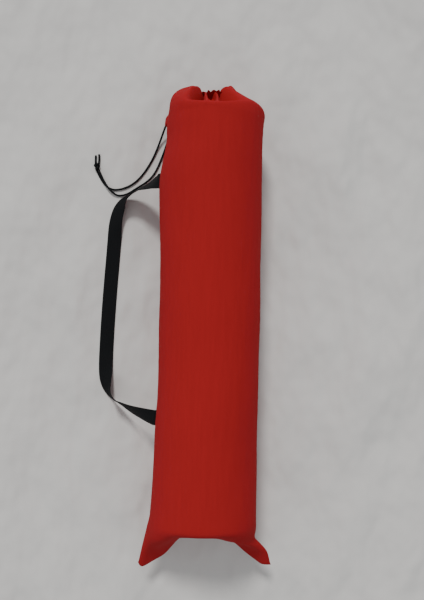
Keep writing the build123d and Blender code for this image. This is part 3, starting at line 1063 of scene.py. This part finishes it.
@dataclass
class Drawstring:
    """The cord's two free tails, the knot that joins them and their cut ends."""

    braid: bpy.types.Material
    seal: bpy.types.Material
    diameter: float = 3.5 * MM
    routes = {
        "tail_front": (
            (-0.0078, 0.3540, 0.0728), (-0.0078, 0.3662, 0.0716), (-0.0128, 0.3745, 0.0590),
            (-0.0380, 0.3725, 0.0460), (-0.0610, 0.3620, 0.0360), (-0.0760, 0.3450, 0.0280),
            (-0.0855, 0.3280, 0.0150), (-0.0960, 0.3020, 0.0035),
            (-0.1075, 0.2745, 0.00185), (-0.1212, 0.2515, 0.00185), (-0.1362, 0.2345, 0.00185),
            (-0.1525, 0.2245, 0.00185), (-0.1690, 0.2200, 0.00185), (-0.1825, 0.2215, 0.00185),
            (-0.1932, 0.2315, 0.00185), (-0.2018, 0.2460, 0.00185), (-0.2079, 0.2580, 0.0033),
        ),
        "tail_back": (
            (-0.0036, 0.3540, 0.0728), (-0.0036, 0.3660, 0.0716), (-0.0068, 0.3745, 0.0560),
            (-0.0290, 0.3720, 0.0415), (-0.0510, 0.3620, 0.0290), (-0.0660, 0.3450, 0.0180),
            (-0.0755, 0.3250, 0.0090), (-0.0830, 0.3010, 0.0027),
            (-0.0920, 0.2750, 0.00185), (-0.1025, 0.2505, 0.00185), (-0.1160, 0.2355, 0.00185),
            (-0.1330, 0.2250, 0.00185), (-0.1500, 0.2130, 0.00185), (-0.1670, 0.2090, 0.00185),
            (-0.1780, 0.2160, 0.0049), (-0.1862, 0.2250, 0.0062), (-0.1960, 0.2415, 0.0057),
            (-0.2030, 0.2575, 0.0037),
        ),
        "end_front": ((-0.2079, 0.2630, 0.0033), (-0.2086, 0.2725, 0.00225), (-0.2082, 0.2800, 0.00225)),
        "end_back": ((-0.2030, 0.2630, 0.0033), (-0.2014, 0.2730, 0.00225), (-0.2024, 0.2820, 0.00225)),
    }
    loop_middle: tuple[float, float, float] = (-6.0 * MM, 350.8 * MM, 81.0 * MM)
    loop_radius: float = 8.0 * MM
    knot_middle: tuple[float, float, float] = (-205.4 * MM, 261.0 * MM, 5.2 * MM)

    def smooth(self, name: str) -> np.ndarray:
        """Returns the points of the smooth line that a route's points pull on."""
        route = self.routes[name]
        curve = bpy.data.curves.new(name + "_line", "CURVE")
        curve.dimensions = "3D"
        curve.resolution_u = 24
        line = curve.splines.new("NURBS")
        line.points.add(len(route) - 1)
        for spot, place in zip(line.points, route):
            spot.co = (*place, 1.0)
        line.order_u = 3
        line.use_endpoint_u = True
        draft = bpy.data.objects.new(name + "_line", curve)
        bpy.context.collection.objects.link(draft)
        mesh = bpy.data.meshes.new_from_object(draft.evaluated_get(bpy.context.evaluated_depsgraph_get()))
        points = np.array([vertex.co[:] for vertex in mesh.vertices])
        bpy.data.objects.remove(draft)
        bpy.data.meshes.remove(mesh)
        return points

    def evened(self, points: np.ndarray, step: float) -> np.ndarray:
        """Respaces a line's points an even step apart."""
        return respaced(points, max(8, int(run_along(points)[-1] / step)))

    def rope(self, name: str, line: np.ndarray, closed: bool = False) -> bpy.types.Object:
        """Makes a braided tube along a line, with the strands standing out as real relief."""
        count = 24
        angle = np.linspace(0, 2 * math.pi, count, endpoint=False)
        run = run_along(line)
        radius = self.diameter / 2
        along = run[:, None] * 2 * math.pi / BRAID_LAY
        strands = np.maximum(np.sin(4 * angle[None, :] + along), np.sin(4 * angle[None, :] - along))
        swell = radius * (0.95 + 0.05 * strands)
        ring = np.stack([swell * np.cos(angle), swell * np.sin(angle)], axis=-1)
        points = tube_grid(line, ring, closed=closed)
        rows = len(line) + (1 if closed else 0)
        if closed:
            run = np.append(run, run[-1] + np.linalg.norm(line[0] - line[-1]))
        around = np.linspace(0, 2 * math.pi * radius, count + 1)
        uv = np.stack(np.broadcast_arrays(around[None, :], run[:rows, None]), axis=-1)
        mesh = grid_mesh(name, points, uv, Wrap.BOTH if closed else Wrap.AROUND)
        if not closed:
            closed_ends(mesh, count, len(line))
        return new_object(name, mesh, self.braid)

    def loop(self) -> bpy.types.Object:
        """Makes the part of the cord that runs round inside the channel."""
        angle = np.linspace(0, 2 * math.pi, 132, endpoint=False)
        ring = np.stack([np.cos(angle), 0 * angle, np.sin(angle)], axis=-1) * self.loop_radius
        return self.rope("cord_in_channel", ring + np.array(self.loop_middle), closed=True)

    def knot(self) -> bpy.types.Object:
        """Makes the overhand knot, pulled tight and lying on the floor."""
        t = np.linspace(0, 2 * math.pi, 260, endpoint=False)
        x = 1.25 * MM * (np.sin(t) + 2 * np.sin(2 * t))
        y = 1.65 * MM * (np.cos(t) - 2 * np.cos(2 * t))
        z = -2.4 * MM * np.sin(3 * t)
        line = np.stack([x, y, z], axis=-1) + np.array(self.knot_middle)
        return self.rope("cord_overhand", line, closed=True)

    def bead(self, name: str, line: np.ndarray) -> bpy.types.Object:
        """Makes the melted end of a cord, at the end of its line."""
        ahead = unit(line[-1] - line[-4])
        steps = np.array([-1.6, -1.2, -0.6, 0.0, 0.6, 1.1, 1.4]) * MM
        sizes = np.array([1.62, 1.82, 1.9, 1.86, 1.65, 1.15, 0.4]) * MM
        angle = np.linspace(0, 2 * math.pi, 20, endpoint=False)
        uneven = 1 + 0.05 * np.sin(3 * angle + 1)
        rings = sizes[:, None, None] * np.stack([uneven * np.cos(angle), uneven * np.sin(angle)], axis=-1)[None]
        spine = line[-1] + ahead * steps[:, None]
        uv = np.zeros((len(steps), 21, 2))
        mesh = grid_mesh(name, tube_grid(spine, rings), uv, Wrap.AROUND)
        closed_ends(mesh, 20, len(steps))
        return new_object(name, mesh, self.seal)


# ---------------------------------------------------------------------------------------------------------------
# Studio
# ---------------------------------------------------------------------------------------------------------------


@dataclass
class Studio:
    """Floor, lights and the camera straight above the bag."""

    floor_finish: bpy.types.Material
    camera_place: tuple[float, float, float] = (3.8 * MM, 28.0 * MM, 1.005)
    roll: float = 1.2
    lens: float = 33.81
    key_elevation: float = 44.0
    key_azimuth: float = 101.0
    key_softness: float = 11.0
    key_strength: float = 2.37
    fill: float = 0.56

    def floor(self) -> bpy.types.Object:
        """Makes the floor."""
        mesh = bpy.data.meshes.new("floor")
        half = 6.0
        mesh.from_pydata([(-half, -half, 0), (half, -half, 0), (half, half, 0), (-half, half, 0)], [], [(0, 1, 2, 3)])
        return new_object("floor", mesh, self.floor_finish)

    def lights(self) -> None:
        """Adds the key light from beyond the mouth and an even fill from the sky."""
        sun = bpy.data.lights.new("key", "SUN")
        sun.energy = self.key_strength
        sun.angle = math.radians(self.key_softness)
        sun.color = (1.0, 0.985, 0.96)
        lamp = bpy.data.objects.new("key", sun)
        rise, turn = math.radians(self.key_elevation), math.radians(self.key_azimuth)
        toward = Vector((math.cos(rise) * math.cos(turn), math.cos(rise) * math.sin(turn), math.sin(rise)))
        lamp.rotation_euler = toward.to_track_quat("Z", "Y").to_euler()
        bpy.context.collection.objects.link(lamp)
        world = bpy.data.worlds.new("sky")
        world.use_nodes = True
        kit = NodeKit(world.node_tree)
        sky = kit.node("ShaderNodeBackground", {}, {"Color": (0.97, 0.985, 1.0, 1.0), "Strength": self.fill})
        kit.node("ShaderNodeOutputWorld", {}, [sky[0]])
        bpy.context.scene.world = world

    def camera(self) -> None:
        """Adds the camera."""
        data = bpy.data.cameras.new("camera")
        data.lens = self.lens
        data.sensor_width = 36.0
        data.sensor_fit = "AUTO"
        data.clip_start = 0.01
        eye = bpy.data.objects.new("camera", data)
        eye.location = self.camera_place
        eye.rotation_euler = (0.0, 0.0, math.radians(self.roll))
        bpy.context.collection.objects.link(eye)
        bpy.context.scene.camera = eye


def dress(nodes: Sequence[str], material: bpy.types.Material) -> None:
    """Gives CAD nodes that stay a finished material."""
    for name in nodes:
        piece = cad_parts[name]
        for slot in piece.material_slots:
            slot.material = material


def box_stitch(y: float, x: float, top: float, width: float, height: float) -> list[np.ndarray]:
    """Returns the sides of a box stitch and its cross, on the inside of the seam."""
    low, high = y - width / 2, y + width / 2
    corners = [(x, low, top), (x, high, top), (x, high, top - height), (x, low, top - height)]
    ends = [(0, 1), (1, 2), (2, 3), (3, 0), (0, 2), (1, 3)]
    return [np.linspace(corners[start], corners[end], 12) for start, end in ends]


def place(piece: bpy.types.Object, body: str, node: str | None, slot: str) -> None:
    """Attaches a piece to the body it rides on and hides the CAD node that it stands for.

    Args:
        piece: The visible piece.
        body: The body it moves with.
        node: The CAD node that it replaces, if any.
        slot: Not used.
    """
    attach(piece, body)
    if node:
        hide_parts(node)
    LOG.info("%s: %d faces", piece.name, len(piece.data.polygons))


def main() -> None:
    """Builds the bag and the studio."""
    red = (0.352, 0.0158, 0.0187)
    black = (0.0045, 0.0052, 0.0062)
    cloth = WovenCloth("red_cloth", red, 0.88).build()
    webbing = Webbing("black_webbing", black, 0.72).build()
    braid = Braid("black_braid", black, 0.7).build()
    seal = Moulded("melted_end", (0.012, 0.012, 0.013), 0.45).build()
    red_thread = Thread("red_thread", (0.33, 0.016, 0.018), 0.6).build()
    black_thread = Thread("black_thread", (0.012, 0.012, 0.013), 0.6).build()
    foam = Foam("mat_foam", (0.10, 0.11, 0.13), 0.7).build()

    cover = Cover(cloth)
    front, back = cover.build()
    for piece, node, slot in ((front, "front_panel", "front_cloth"), (back, "back_panel", "back_cloth")):
        place(piece, "bag", node, slot)

    hem = MouthHem(cloth)
    place(hem.build(), "bag", "mouth_hem", "hem_cloth")

    foot = [(-0.066, -0.3370, 0.0805), (0.0, -0.3465, 0.0805), (0.066, -0.3370, 0.0805)]
    sewn = {
        "hem_thread": (red_thread, [hem.stitch_line()], "red_thread"),
        "left_seam_thread": (red_thread, [cover.seam_line(cover.left_edge, 2.0 * MM)], "red_thread"),
        "right_seam_thread": (red_thread, [cover.seam_line(cover.right_edge, -2.0 * MM)], "red_thread"),
        "bottom_seam_thread": (red_thread, [through_even(foot, 60)], "red_thread"),
        "strap_tack_upper": (black_thread, box_stitch(0.2215, -0.0796, 0.0775, 0.020, 0.011), "black_thread"),
        "strap_tack_lower": (black_thread, box_stitch(-0.1670, -0.0796, 0.0775, 0.020, 0.011), "black_thread"),
    }
    for node, (thread, lines, slot) in sewn.items():
        stitches = StitchRow(thread).sew(node.replace("_thread", "_stitches") + "_row", lines)
        place(stitches, "bag", node, slot)

    strap = Strap(webbing).build()
    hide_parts("shoulder_strap")
    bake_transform(strap)
    LOG.info("%s: %d faces", strap.name, len(strap.data.polygons))

    string = Drawstring(braid, seal)
    made = {}
    for name in string.routes:
        line = string.evened(string.smooth(name), 0.36 * MM)
        made[name] = (string.rope("cord_" + name.replace("_", "_run_"), line), line)
    knot = string.knot()
    beads = [string.bead(f"cord_{name}_bead", made[name][1]) for name in ("end_front", "end_back")]
    for name, (piece, _) in made.items():
        place(piece, "drawstring_tails", "cord_" + name, "cord_braid")
    place(string.loop(), "bag", "drawstring_loop", "cord_braid")
    place(knot, "drawstring_tails", "cord_knot", "cord_braid")
    for bead in beads:
        place(bead, "drawstring_tails", None, "cord_braid")
    for side, bead in (("front", beads[0]), ("back", beads[1])):
        tail, line = made["tail_" + side]
        run = run_along(line)[-1]
        LOG.info("%s: %.1f mm long", tail.name, run / MM)

    roll = RolledMat(foam, cover).build()
    place(roll, "bag", "rolled_mat", "mat_foam")
    dress(["strap_end_upper", "strap_end_lower"], webbing)

    studio = Studio(Backdrop("pale_floor", (0.63, 0.620, 0.605), 0.9).build())
    studio.floor()
    studio.lights()
    studio.camera()
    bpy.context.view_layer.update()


if __name__ == "__main__":
    logging.basicConfig(level=logging.INFO)
    main()
